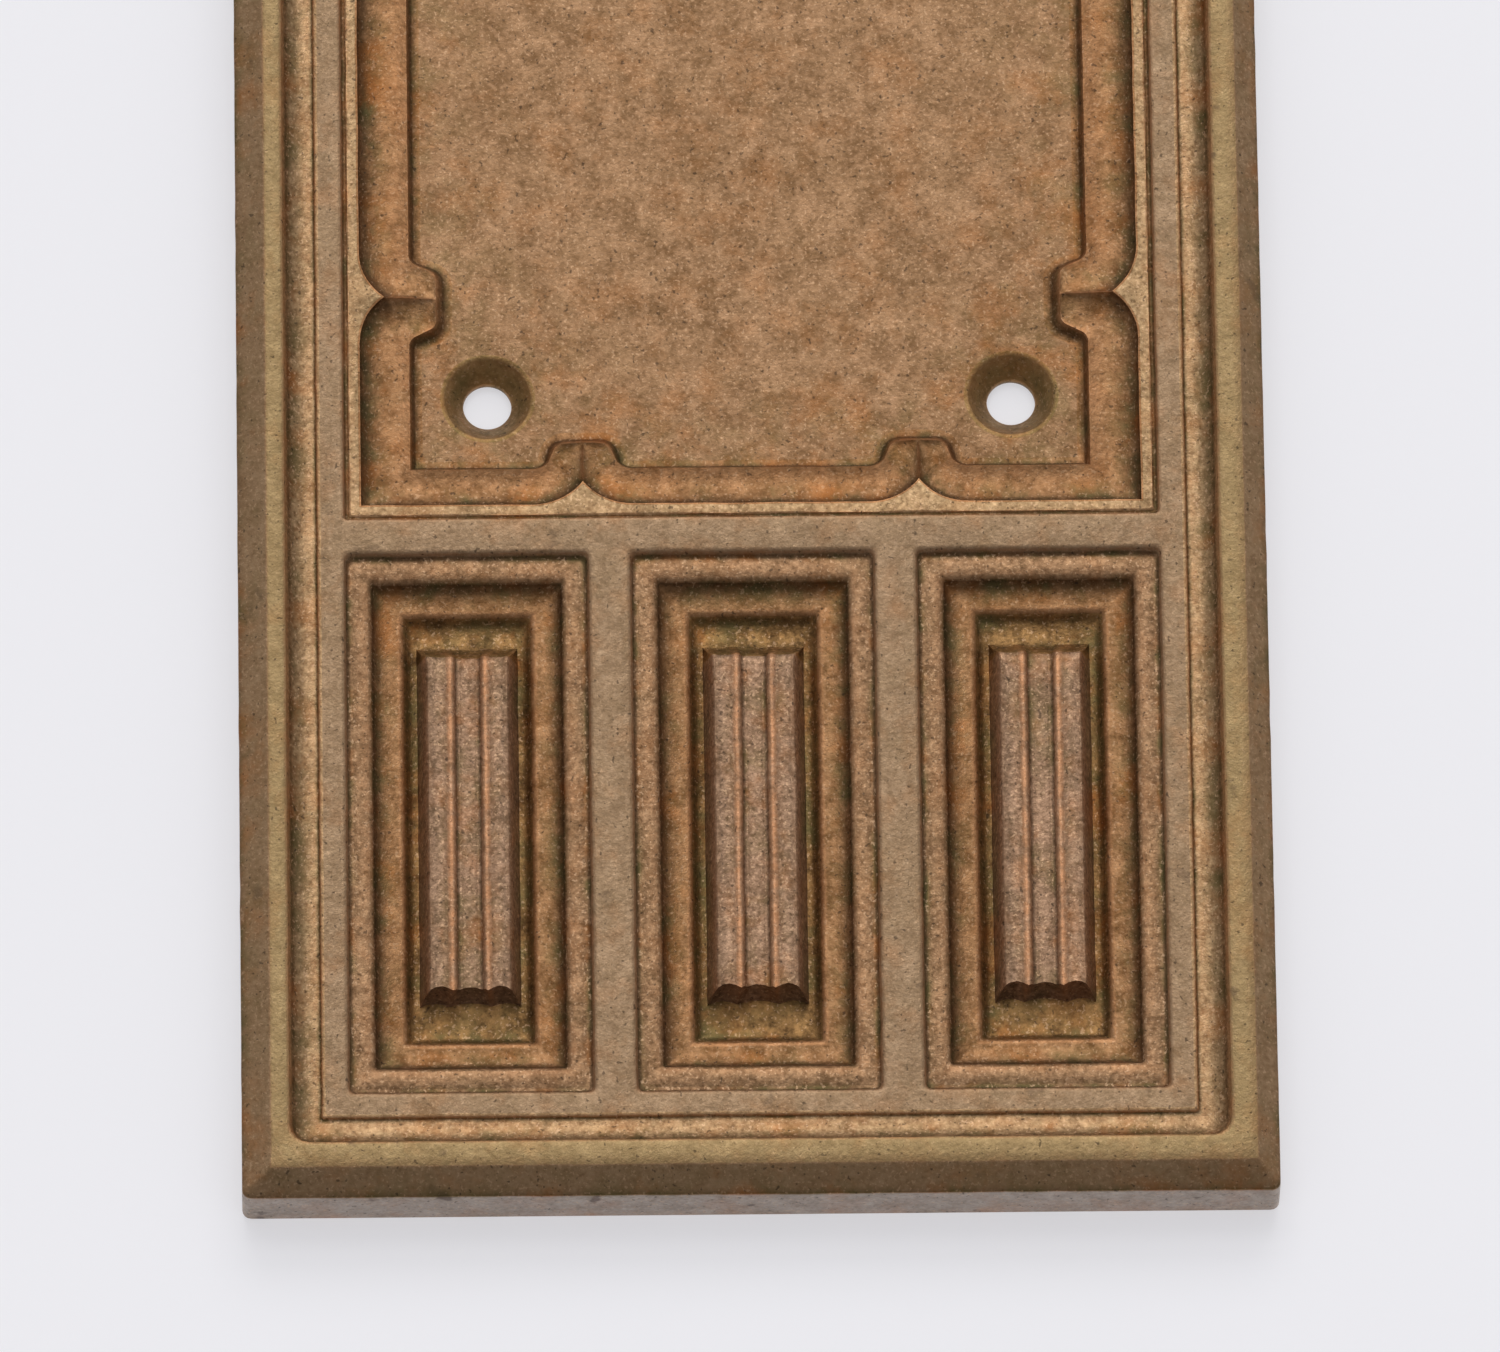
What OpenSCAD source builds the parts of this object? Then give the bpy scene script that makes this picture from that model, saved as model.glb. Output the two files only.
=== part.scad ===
/* [Plate] */
// Width of the plate
plate_w = 82.6; // [80:0.2:90]
// Height of the plate
plate_h = 304.8; // [280:0.4:420]
// Thickness at the raised rim
plate_t = 6.2; // [6:0.1:7]
// Height of the square edge under the bevel
edge_t = 5; // [4.8:0.1:5.4]
// Width of the bevel around the edge
bevel_w = 2.1; // [1.6:0.1:2.4]
// Thickness of the sunk field
field_t = 2.4; // [2.2:0.1:2.6]

/* [Border] */
// Width of the flat rim along the sides
rim_w = 1.75; // [1.4:0.05:2.2]
// Width of the flat rim along the two ends
end_rim_w = 2.2; // [1.6:0.1:2.6]
// Width of the hollow inside the rim
hollow_w = 2.5; // [2.3:0.1:2.7]
// Thickness left at the bottom of that hollow
hollow_t = 4.35; // [4.2:0.05:4.5]
// Width of the flat band inside the hollow
band_w = 2.2; // [1.6:0.1:2.4]
// Thickness of the band, the transoms and the mullions
band_t = 4.6; // [4.5:0.05:4.8]

/* [Central panel] */
// Width of the transom between the central panel and the small panels
transom_w = 3; // [2.4:0.1:4]
// Width of the sunk bead around the central panel
bead_w = 1.4; // [1.2:0.1:1.6]
// Thickness at that bead
bead_t = 4.1; // [4:0.05:4.3]
// Width of the cove
cove_w = 3.7; // [3.6:0.1:4]
// Thickness left at the inner edge of the cove
cove_t = 3.05; // [3:0.05:3.2]
// Radius of the arcs that meet in a cusp
cusp_r = 5; // [4.9:0.1:5.4]
// How far each cusp's blunt inner end stands in past the cove
cusp_blunt = 2.2; // [1.9:0.1:2.5]
// Distance of an end cusp from the centre line
end_cusp_x = 13.5; // [12.5:0.1:14.5]
// Distance of a side cusp from the plate's end
side_cusp_z = 78; // [76:0.5:82]

/* [Small panels] */
// Width of each small panel
small_w = 19.6; // [19:0.1:20]
// Height of each small panel
small_h = 46.4; // [42:0.2:50]
// Width of the flat margin inside each small panel
margin_w = 1.9; // [1.6:0.1:2]
// Thickness at that margin
margin_t = 3.95; // [3.8:0.05:4.1]
// Width of the small cove inside the margin
small_cove_w = 2.4; // [2.2:0.1:2.5]
// Thickness left at the inner edge of the small cove
small_cove_t = 3.1; // [3:0.05:3.2]
// Thickness at the floor of each small panel
floor_t = 2; // [1.8:0.1:2.2]

/* [Reeded bars] */
// Width of the bar in each small panel, at its top
bar_w = 7; // [6.6:0.1:7.2]
// Length of the bar along its top
bar_h = 28.8; // [26:0.2:30]
// Thickness at the bar's ridges
bar_t = 4.3; // [4.1:0.05:4.4]
// How far the bar's sides lean out at the floor
bar_lean = 0.6; // [0.4:0.05:0.7]
// Depth of the two outer flutes
flute_depth = 0.18; // [0.1:0.02:0.3]
// Width of the middle flute
mid_flute_w = 2.3; // [2:0.1:2.6]
// Depth of the middle flute
mid_flute_depth = 0.4; // [0.3:0.05:0.5]
// Width of the flat land left on each ridge
ridge_w = 0.25; // [0.2:0.05:0.4]

/* [Screw holes] */
// Distance between the two holes of a pair
hole_spacing = 42.2; // [40:0.1:44]
// Distance of each pair from the plate's end
hole_from_end = 69.7; // [69:0.1:72]
// Radius of the holes
hole_r = 1.95; // [1.9:0.05:2.1]
// Radius of the countersinks at the field
sink_r = 3.42; // [3.3:0.02:3.5]

/* [Screws] */
// Length of a screw, head and point included
screw_l = 25.4; // [22:0.2:32]
// Radius of the plain shank
shank_r = 1.75; // [1.7:0.01:1.8]
// Radius at the root of the thread
root_r = 1.2; // [1.1:0.05:1.3]
// Distance from one thread ridge to the next
thread_pitch = 1.4; // [1.3:0.1:1.6]
// Width of the driver slot
slot_w = 0.9; // [0.8:0.05:1]
// Depth of the driver slot
slot_depth = 0.8; // [0.7:0.05:0.9]
// Gap between a screw head and its countersink
seat_gap = 0.05; // [0.03:0.01:0.1]

/* [Hidden] */
$fn = 72;
over = 1;                       // how far a cutter reaches past the face that it opens
lap = 0.06;                     // how far the sunk field undercuts the foot of its cove
countersink = 82;               // included angle of the countersinks and of the screw heads
small_count = 3;

// distances in from the plate's edge, along the sides and along the ends
side_hollow = bevel_w + rim_w;
end_hollow = bevel_w + end_rim_w;
side_panel = side_hollow + hollow_w + band_w;
end_panel = end_hollow + hollow_w + band_w;
end_window = end_panel + small_h + transom_w;

// outlines of the central panel
window_w = plate_w - 2 * side_panel;
window_h = plate_h - 2 * end_window;
cove_x = window_w / 2 - bead_w;
cove_z = window_h / 2 - bead_w;
field_x = cove_x - cove_w;
field_z = cove_z - cove_w;

// a cusp: its arcs turn by the larger angle of a 3-4-5 triangle; how far it stands in from the
// outline, and how far each arc runs along it
cusp_turn = asin(4 / 5);
cusp_in = cusp_r * 2 / 5;
cusp_run = cusp_r * 4 / 5;
cusp_z = plate_h / 2 - side_cusp_z;

// small panels
small_x = (window_w - small_w) / (small_count - 1);
small_z = plate_h / 2 - end_panel - small_h / 2;

hole_z = plate_h / 2 - hole_from_end;
sink_depth = (sink_r - hole_r) / tan(countersink / 2);
head_r = sink_r - seat_gap;
head_depth = (head_r - shank_r) / tan(countersink / 2);
plain_l = screw_l / 3;
point_l = 3.2;

// radius of the arc that falls by drop over a width and is level at its low end
function arc_radius(width, drop) = (width * width + drop * drop) / (2 * drop);

// lays a section's first axis inwards along +X and its second axis up the thickness
module run(length) {
    rotate([90, 0, 0])
        linear_extrude(length, center = true)
            children();
}

// a section carried round a rectangle with mitred corners; the section starts at the outline, inwards
module mitred_frame(w, h, reach) {
    for (turn = [0, 1, 2, 3]) {
        across = turn % 2 == 0 ? w : h;
        along = turn % 2 == 0 ? h : w;
        rotate(turn * 90)
            intersection() {
                translate([-across / 2, 0, 0])
                    run(along + 2 * over)
                        children();
                linear_extrude(plate_t + 2 * over)
                    polygon([[-across / 2 - over, -along / 2 - over],
                             [-across / 2 - over, along / 2 + over],
                             [-across / 2 + reach, along / 2 - reach],
                             [-across / 2 + reach, -along / 2 + reach]]);
            }
    }
}

// what a hollow takes away between its upper edge, at 0, and its level low end
module hollow_section(width, top_t, low_t) {
    r = arc_radius(width, top_t - low_t);
    intersection() {
        translate([-over, low_t])
            square([width + over, top_t + over / 2 - low_t]);
        translate([width, low_t + r])
            circle(r, $fn = 180);
    }
}

// a pocket with upright walls, open to the front
module pocket(w, h, bottom_t) {
    translate([-w / 2, -h / 2, bottom_t])
        cube([w, h, plate_t + over - bottom_t]);
}

// the plate's blank: a square edge with a bevel that is mitred at the corners
module bevelled_blank() {
    intersection() {
        run(plate_h)
            edge_section(plate_w);
        rotate(90)
            run(plate_w)
                edge_section(plate_h);
    }
}

module edge_section(w) {
    polygon([[-w / 2, 0], [w / 2, 0], [w / 2, edge_t], [w / 2 - bevel_w, plate_t],
             [-w / 2 + bevel_w, plate_t], [-w / 2, edge_t]]);
}

// the hollow just inside the rim, with everything inside it taken down to the band
module rim_recess() {
    w = plate_w - 2 * side_hollow;
    h = plate_h - 2 * end_hollow;
    mitred_frame(w, h, hollow_w)
        hollow_section(hollow_w, plate_t, hollow_t);
    pocket(w - 2 * hollow_w, h - 2 * hollow_w, band_t);
}

// one small panel: margin, cove and floor
module small_recess() {
    pocket(small_w, small_h, margin_t);
    w = small_w - 2 * margin_w;
    h = small_h - 2 * margin_w;
    mitred_frame(w, h, small_cove_w)
        hollow_section(small_cove_w, margin_t, small_cove_t);
    pocket(w - 2 * small_cove_w, h - 2 * small_cove_w, floor_t);
}

// the fluted bar that stands on a small panel's floor
module reeded_bar() {
    foot = floor_t - 0.2;
    ridge = mid_flute_w / 2 + ridge_w;
    side_w = bar_w / 2 - ridge - ridge_w;
    mid_r = arc_radius(mid_flute_w / 2, mid_flute_depth);
    side_r = arc_radius(side_w / 2, flute_depth);
    difference() {
        intersection() {
            run(bar_h + 6)
                polygon([[-bar_w / 2 - bar_lean, foot], [bar_w / 2 + bar_lean, foot],
                         [bar_w / 2, bar_t], [-bar_w / 2, bar_t]]);
            rotate(90)
                run(bar_w + 4)
                    polygon([[-bar_h / 2 - bar_lean, foot], [bar_h / 2 + 2 * bar_lean, foot],
                             [bar_h / 2, bar_t], [-bar_h / 2, bar_t]]);
        }
        run(bar_h + 8)
            translate([0, bar_t - mid_flute_depth + mid_r])
                circle(mid_r);
        for (side = [-1, 1])
            run(bar_h + 8)
                translate([side * (ridge + side_w / 2), bar_t - flute_depth + side_r])
                    circle(side_r, $fn = 180);
    }
}

module at_small_panels() {
    for (end = [0, 1], i = [0 : small_count - 1])
        mirror([0, end, 0])
            translate([(i - (small_count - 1) / 2) * small_x, -small_z, 0])
                children();
}

// the central cove's section, from its outer outline inwards
module cove_section() {
    hollow_section(cove_w, bead_t, cove_t);
}

// half of a cusp, for a cove whose outline runs along Y at x = 0 and whose field lies at +X
module half_cusp() {
    blunt_x = cove_w + cusp_blunt;
    // the arc that leaves the straight outline
    translate([cusp_r, -cusp_run, 0])
        rotate(180 - cusp_turn)
            rotate_extrude(angle = cusp_turn, $fn = 180)
                translate([cusp_r, 0])
                    mirror([1, 0])
                        cove_section();
    // the straight stretch past the arc, cut off at the cusp's own centre line and at its blunt end
    intersection() {
        translate([cusp_in, 0, 0])
            rotate(-cusp_turn)
                translate([0, 2 * cusp_r, 0])
                    run(4 * cusp_r)
                        cove_section();
        linear_extrude(plate_t + 2 * over)
            polygon([[-over, 0], [-over, -cusp_run], [blunt_x, -cusp_run], [blunt_x, 0]]);
    }
}

// straight stretches of the cove in the quarter where x and z are both positive
module quarter_cove() {
    // along the side, below and above the cusp
    side_runs = [[0, cusp_z - cusp_run], [cusp_z + cusp_run, cove_z + over]];
    end_runs = [[0, end_cusp_x - cusp_run], [end_cusp_x + cusp_run, cove_x + over]];
    // the corner's mitre line, carried out past the outline
    outer_x = cove_x + over;
    outer_z = cove_z + over;
    intersection() {
        for (s = side_runs)
            translate([cove_x, (s[0] + s[1]) / 2, 0])
                mirror([1, 0, 0])
                    run(s[1] - s[0])
                        cove_section();
        linear_extrude(plate_t + 2 * over)
            polygon([[0, 0], [outer_x, 0], [outer_x, outer_z], [field_x, field_z], [0, field_z]]);
    }
    intersection() {
        for (s = end_runs)
            translate([(s[0] + s[1]) / 2, cove_z, 0])
                rotate(-90)
                    run(s[1] - s[0])
                        cove_section();
        linear_extrude(plate_t + 2 * over)
            polygon([[0, 0], [field_x, 0], [field_x, field_z], [outer_x, outer_z], [0, outer_z]]);
    }
    // the cusps
    for (flip = [0, 1]) {
        translate([cove_x, cusp_z, 0])
            mirror([0, flip, 0])
                mirror([1, 0, 0])
                    half_cusp();
        translate([end_cusp_x, cove_z, 0])
            mirror([flip, 0, 0])
                rotate(-90)
                    half_cusp();
    }
}

// where the cove stands in past its straight inner line at a cusp, in plan
module cusp_pad() {
    hook_r = cusp_r - cove_w + lap / 2;
    hook_x = cusp_r - hook_r * 3 / 5;
    hook_y = cusp_run - hook_r * 4 / 5;
    blunt_x = cove_w + cusp_blunt - lap;
    blunt_y = hook_y - (blunt_x - hook_x) * 3 / 4;
    for (flip = [0, 1])
        mirror([0, flip])
            difference() {
                polygon([[cove_w - over, 0], [cove_w - over, cusp_run], [cusp_r, cusp_run],
                         [hook_x, hook_y], [blunt_x, blunt_y], [blunt_x, 0]]);
                translate([cusp_r, cusp_run])
                    circle(hook_r + lap / 2);
            }
}

// the sunk field in plan
module field_outline() {
    difference() {
        square([2 * field_x + lap, 2 * field_z + lap], center = true);
        for (mx = [0, 1], mz = [0, 1])
            mirror([mx, 0])
                mirror([0, mz]) {
                    translate([cove_x, cusp_z])
                        mirror([1, 0])
                            cusp_pad();
                    translate([end_cusp_x, cove_z])
                        rotate(-90)
                            cusp_pad();
                }
    }
}

module central_recess() {
    pocket(window_w, window_h, bead_t);
    for (mx = [0, 1], mz = [0, 1])
        mirror([mx, 0, 0])
            mirror([0, mz, 0])
                quarter_cove();
    translate([0, 0, field_t])
        linear_extrude(plate_t)
            field_outline();
}

// the four hole centres, or only the upper two
module at_holes(ends = [-1, 1]) {
    for (end = ends, side = [-1, 1])
        translate([side * hole_spacing / 2, end * hole_z, 0])
            children();
}

module screw_hole() {
    translate([0, 0, -over])
        cylinder(h = plate_t + over, r = hole_r);
    flare = over / 2;
    translate([0, 0, field_t - sink_depth])
        cylinder(h = sink_depth + flare, r1 = hole_r, r2 = sink_r + flare * tan(countersink / 2));
}

// turns a shape drawn flat, with its thickness up, to stand on edge and face -Y
module upright() {
    rotate([90, 0, 0])
        children();
}

module push_plate() {
    color("#a07f58")
        upright() {
            difference() {
                bevelled_blank();
                rim_recess();
                central_recess();
                at_small_panels()
                    small_recess();
                at_holes()
                    screw_hole();
            }
            at_small_panels()
                reeded_bar();
        }
}

// a slotted countersunk wood screw, point down, with its head's flat face at z = 0
module wood_screw() {
    thread_l = screw_l - plain_l - point_l;
    ridges = floor(thread_l / thread_pitch);
    difference() {
        rotate_extrude()
            polygon(concat(
                [[0, 0], [head_r, 0], [shank_r, -head_depth], [shank_r, -plain_l], [root_r, -plain_l]],
                [for (i = [1 : ridges], p = thread_ridge(-plain_l - i * thread_pitch)) p],
                [[root_r, -screw_l + point_l], [0, -screw_l]]
            ));
        translate([-plate_w / 2, -slot_w / 2, -slot_depth])
            cube([plate_w, slot_w, slot_depth + over]);
    }
}

// one ridge of the thread in section, from its upper flank to its lower one
function thread_ridge(z) = [
    [root_r, z + thread_pitch * 2 / 3],
    [shank_r, z + thread_pitch / 3],
    [root_r, z]
];

// a screw seated in one of the upper holes
module seated_screw(side) {
    color("#8c7350")
        upright()
            translate([side * hole_spacing / 2, hole_z, field_t])
                rotate(side * 25)
                    wood_screw();
}

module upper_left_screw() {
    seated_screw(-1);
}

module upper_right_screw() {
    seated_screw(1);
}

push_plate();
upper_left_screw();
upper_right_screw();
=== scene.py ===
"""A cast bronze push plate, upright and face on, with slotted screws seated in its upper holes."""

from math import asin, cos, pi, radians, sin, sqrt, tan

import bmesh
import bpy
import numpy as np
from mathutils import Matrix, Vector, noise
from mathutils.geometry import delaunay_2d_cdt


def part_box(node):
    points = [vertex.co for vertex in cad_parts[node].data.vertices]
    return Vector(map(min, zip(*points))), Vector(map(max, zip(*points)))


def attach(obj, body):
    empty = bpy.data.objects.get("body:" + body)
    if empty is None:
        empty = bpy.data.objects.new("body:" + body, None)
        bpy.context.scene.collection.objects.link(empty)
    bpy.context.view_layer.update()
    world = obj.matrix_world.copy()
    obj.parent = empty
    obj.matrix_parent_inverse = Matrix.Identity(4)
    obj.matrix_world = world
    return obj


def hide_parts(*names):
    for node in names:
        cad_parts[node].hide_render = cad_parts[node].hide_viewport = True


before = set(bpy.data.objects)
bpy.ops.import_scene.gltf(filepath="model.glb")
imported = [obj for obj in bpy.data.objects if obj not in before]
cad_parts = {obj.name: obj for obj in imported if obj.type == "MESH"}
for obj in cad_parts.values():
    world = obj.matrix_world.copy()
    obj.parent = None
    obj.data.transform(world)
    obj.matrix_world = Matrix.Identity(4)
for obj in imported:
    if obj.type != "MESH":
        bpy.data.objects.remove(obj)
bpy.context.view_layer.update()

MM = 0.001

# ---------------------------------------------------------------- sizes, in millimetres
# The plate is described by how far across (x), how far up (z) and how far out from its back (h).
plate_low, plate_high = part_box("push_plate")
PLATE_W = (plate_high.x - plate_low.x) / MM
PLATE_H = (plate_high.z - plate_low.z) / MM
PLATE_T = (plate_high.y - plate_low.y) / MM

EDGE_T = 4.9
LEFT_BEVEL = 2.35
RIGHT_BEVEL = 1.8
END_BEVEL = 2.2
SIDE_HOLLOW = 3.85
END_HOLLOW = 4.35
HOLLOW_W = 2.5
HOLLOW_T = 4.35
BAND_T = 4.6

WINDOW_X = 32.75
WINDOW_Z = PLATE_H / 2 - 58.4
BEAD_W = 1.4
BEAD_T = 4.1
COVE_X = WINDOW_X - BEAD_W
COVE_Z = WINDOW_Z - BEAD_W
SIDE_COVE = 4.0
END_COVE = 3.4
COVE_TOP_T = 3.8
COVE_LOW_T = 3.0
LIP_T = 3.2
FIELD_T = 2.4
LIP_FOOT = 0.5
BLUNT_FOOT = 0.8
FOOT_STAIN = 0.5

CUSP_R = 5.0
CUSP_TURN = asin(4 / 5)
CUSP_IN = CUSP_R * (1 - cos(CUSP_TURN))
CUSP_RUN = CUSP_R * sin(CUSP_TURN)
CUSP_BLUNT = 2.2
SIDE_BLUNT_HALF = 2.3
END_BLUNT_HALF = 2.1
BLUNT_ROUND = 0.6
RIDGE_TIP_T = 3.9
RIDGE_END_T = 3.45
SIDE_CUSP_Z = PLATE_H / 2 - 78.0
END_CUSP_X = 13.5

SMALL_W = 19.6
SMALL_H = 46.4
SMALL_STEP_X = 22.95
SMALL_Z = PLATE_H / 2 - 32.2
FLOOR_T = 2.05

BAR_HALF = 3.3
BAR_LEAN = 0.75
BAR_T = 4.3
BAR_H = 28.8
BAR_BITE = 0.5
BAR_RIDGE = 1.42

HOLE_X = 21.1
HOLE_Z = PLATE_H / 2 - 69.7
HOLE_R = 1.95
SINK_R = 3.42
SINK_DEPTH = (SINK_R - HOLE_R) / tan(radians(41))

STAIN_REACH = 8.0
BRONZE_METALLIC = 0.88
GRAIN_STRENGTH = 0.5
GRAIN_DEPTH = 0.12

# camera
CAMERA_YAW = radians(-0.95)
CAMERA_PITCH = radians(22)
CAMERA_ROLL = radians(0.85)
CAMERA_DISTANCE = 2.167
CAMERA_LENS = 647.7
AIM = Vector((-0.00024, 0, -0.106))

FINISHES = [
    "border",
    "hollow",
    "band",
    "panel",
    "recess",
    "bar",
    "bead",
    "floor",
    "sink",
    "bevel",
    "edge",
]


# ---------------------------------------------------------------- mesh building
class Casting:
    """Points in millimetres, welded as they are added, and faces between them by finish."""

    def __init__(self):
        self.points = []
        # Per point, wear paints coppery arrises, partly rubbed wear and partly painted highlight,
        # and dirt darkens steps, grooves, hollows and hole walls, partly grime and partly painted
        # shade.
        self.wear_and_sheen = []
        self.dirt_and_shade = []
        self.faces = []
        self.finishes = []
        self.known = {}

    def point(self, x, z, h, wear_and_sheen=0.0, dirt_and_shade=0.0):
        key = (round(x, 4) + 0.0, round(z, 4) + 0.0, round(h, 4) + 0.0)
        if key not in self.known:
            self.known[key] = len(self.points)
            self.points.append(key)
            self.wear_and_sheen.append(wear_and_sheen)
            self.dirt_and_shade.append(dirt_and_shade)
        i = self.known[key]
        self.wear_and_sheen[i] = max(self.wear_and_sheen[i], wear_and_sheen)
        self.dirt_and_shade[i] = max(self.dirt_and_shade[i], dirt_and_shade)
        return i

    def face(self, corners, finish):
        corners = [c for k, c in enumerate(corners) if c != corners[k - 1]]
        if len(set(corners)) >= 3:
            self.faces.append(corners)
            self.finishes.append(FINISHES.index(finish))

    def strip(self, row, following, finish, closed=False):
        """Quads between two rows of equally many points."""
        count = len(row) if closed else len(row) - 1
        for i in range(count):
            j = (i + 1) % len(row)
            self.face([row[i], row[j], following[j], following[i]], finish)

    def fill(self, loops, finish, spacing=0.0, stain=0.0):
        """A level face between closed loops of points, with a jittered grid of points inside it,
        a little dirty near the loops if stained."""
        h = self.points[loops[0][0]][2]
        places, owners, edges = [], [], []
        for loop in loops:
            loop = [c for k, c in enumerate(loop) if c != loop[k - 1]]
            start = len(places)
            places += [self.points[i][:2] for i in loop]
            owners += loop
            edges += [(start + k, start + (k + 1) % len(loop)) for k in range(len(loop))]
        walls = np.array([(*places[a], *places[b]) for a, b in edges])
        if spacing:
            for place, gap in grid_inside(walls, spacing):
                places.append(place)
                owners.append(self.point(*place, h, 0.0, stain * max(0.0, 1 - gap / STAIN_REACH)))
        made, _, triangles, origins = delaunay_2d_cdt(
            [Vector(p) for p in places], edges, [], 0, 1e-5
        )[:4]
        names = [
            owners[o[0]] if o else self.point(v.x, v.y, h) for v, o in zip(made, origins)
        ]
        middles = np.array([sum((made[i] for i in t), Vector((0, 0))) / 3 for t in triangles])
        for triangle, keep in zip(triangles, inside(middles, walls)):
            if keep:
                self.face([names[i] for i in triangle], finish)


def inside(places, walls):
    """Whether each place has an odd number of walls to its right."""
    x, z = places[:, 0, None], places[:, 1, None]
    x1, z1, x2, z2 = walls.T
    spans = (z1 > z) != (z2 > z)
    with np.errstate(divide="ignore", invalid="ignore"):
        crossing = x1 + (z - z1) * (x2 - x1) / (z2 - z1)
    return (spans & (x < crossing)).sum(1) % 2 == 1


def grid_inside(walls, spacing):
    """Points of a jittered grid inside the walls and not too near them, each with its gap."""
    low = walls[:, :2].min(0)
    high = walls[:, :2].max(0)
    random = np.random.default_rng(7)
    across = np.arange(low[0] + spacing / 2, high[0], spacing)
    up = np.arange(low[1] + spacing / 2, high[1], spacing)
    grid = np.array([(x, z) for x in across for z in up])
    grid = grid + random.uniform(-0.3, 0.3, grid.shape) * spacing
    grid = grid[inside(grid, walls)]
    ends = walls[:, :2]
    gap = np.array([np.hypot(*(ends - g).T).min() for g in grid])
    return [(tuple(map(float, g)), float(d)) for g, d in zip(grid, gap) if d > spacing * 0.5]


def spread(start, end, step):
    """Evenly spaced values from start to end, both included, about a step apart."""
    count = max(1, round(abs(end - start) / step))
    return [start + (end - start) * i / count for i in range(count + 1)]


def rounded_outline(x0, x1, z0, z1, radius, step_counts, corner_steps=4):
    """Points round a rectangle with round corners, with the same number of points for any size."""
    corners = [
        (x1 - radius, z0 + radius, -90),
        (x1 - radius, z1 - radius, 0),
        (x0 + radius, z1 - radius, 90),
        (x0 + radius, z0 + radius, 180),
    ]
    arcs = []
    for x, z, turn in corners:
        angles = [radians(turn + 90 * i / corner_steps) for i in range(corner_steps + 1)]
        arcs.append([(x + radius * cos(a), z + radius * sin(a)) for a in angles])
    outline = []
    for side, arc in enumerate(arcs):
        count = step_counts[(side + 1) % 2]
        (xa, za), (xb, zb) = arc[-1], arcs[(side + 1) % 4][0]
        outline += arc
        outline += [
            (xa + (xb - xa) * i / count, za + (zb - za) * i / count) for i in range(1, count)
        ]
    return outline


def nested_rings(casting, outline_of, rows, finish_of):
    """Rings of quads between outlines, each row being inset, height, wear and dirt; wear is rubbed
    wear and painted highlight, dirt is grime and painted shade.
    """
    rings = []
    for inset, h, wear_and_sheen, dirt_and_shade in rows:
        rings.append([casting.point(x, z, h, wear_and_sheen, dirt_and_shade) for x, z in outline_of(inset)])
    for row, (ring, following) in enumerate(zip(rings, rings[1:])):
        casting.strip(ring, following, finish_of(row), closed=True)
    return rings[0], rings[-1]


def hollow_rows(start, width, top_t, low_t, steps, dirt_and_shade=0.0, worn_and_sheen=0.0):
    """The rows of a hollow whose section is a quarter ellipse, level at its inner end.
    It is darkest at its outer end, by grime and painted shade, and most coppery at its inner end,
    by wear and painted highlight."""
    rows = []
    for i in range(1, steps + 1):
        left = 1 - i / steps
        height = low_t + (top_t - low_t) * (1 - sqrt(1 - left * left))
        rows.append((start + width * i / steps, height, worn_and_sheen * (1 - left) ** 2, dirt_and_shade * left))
    return rows


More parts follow.
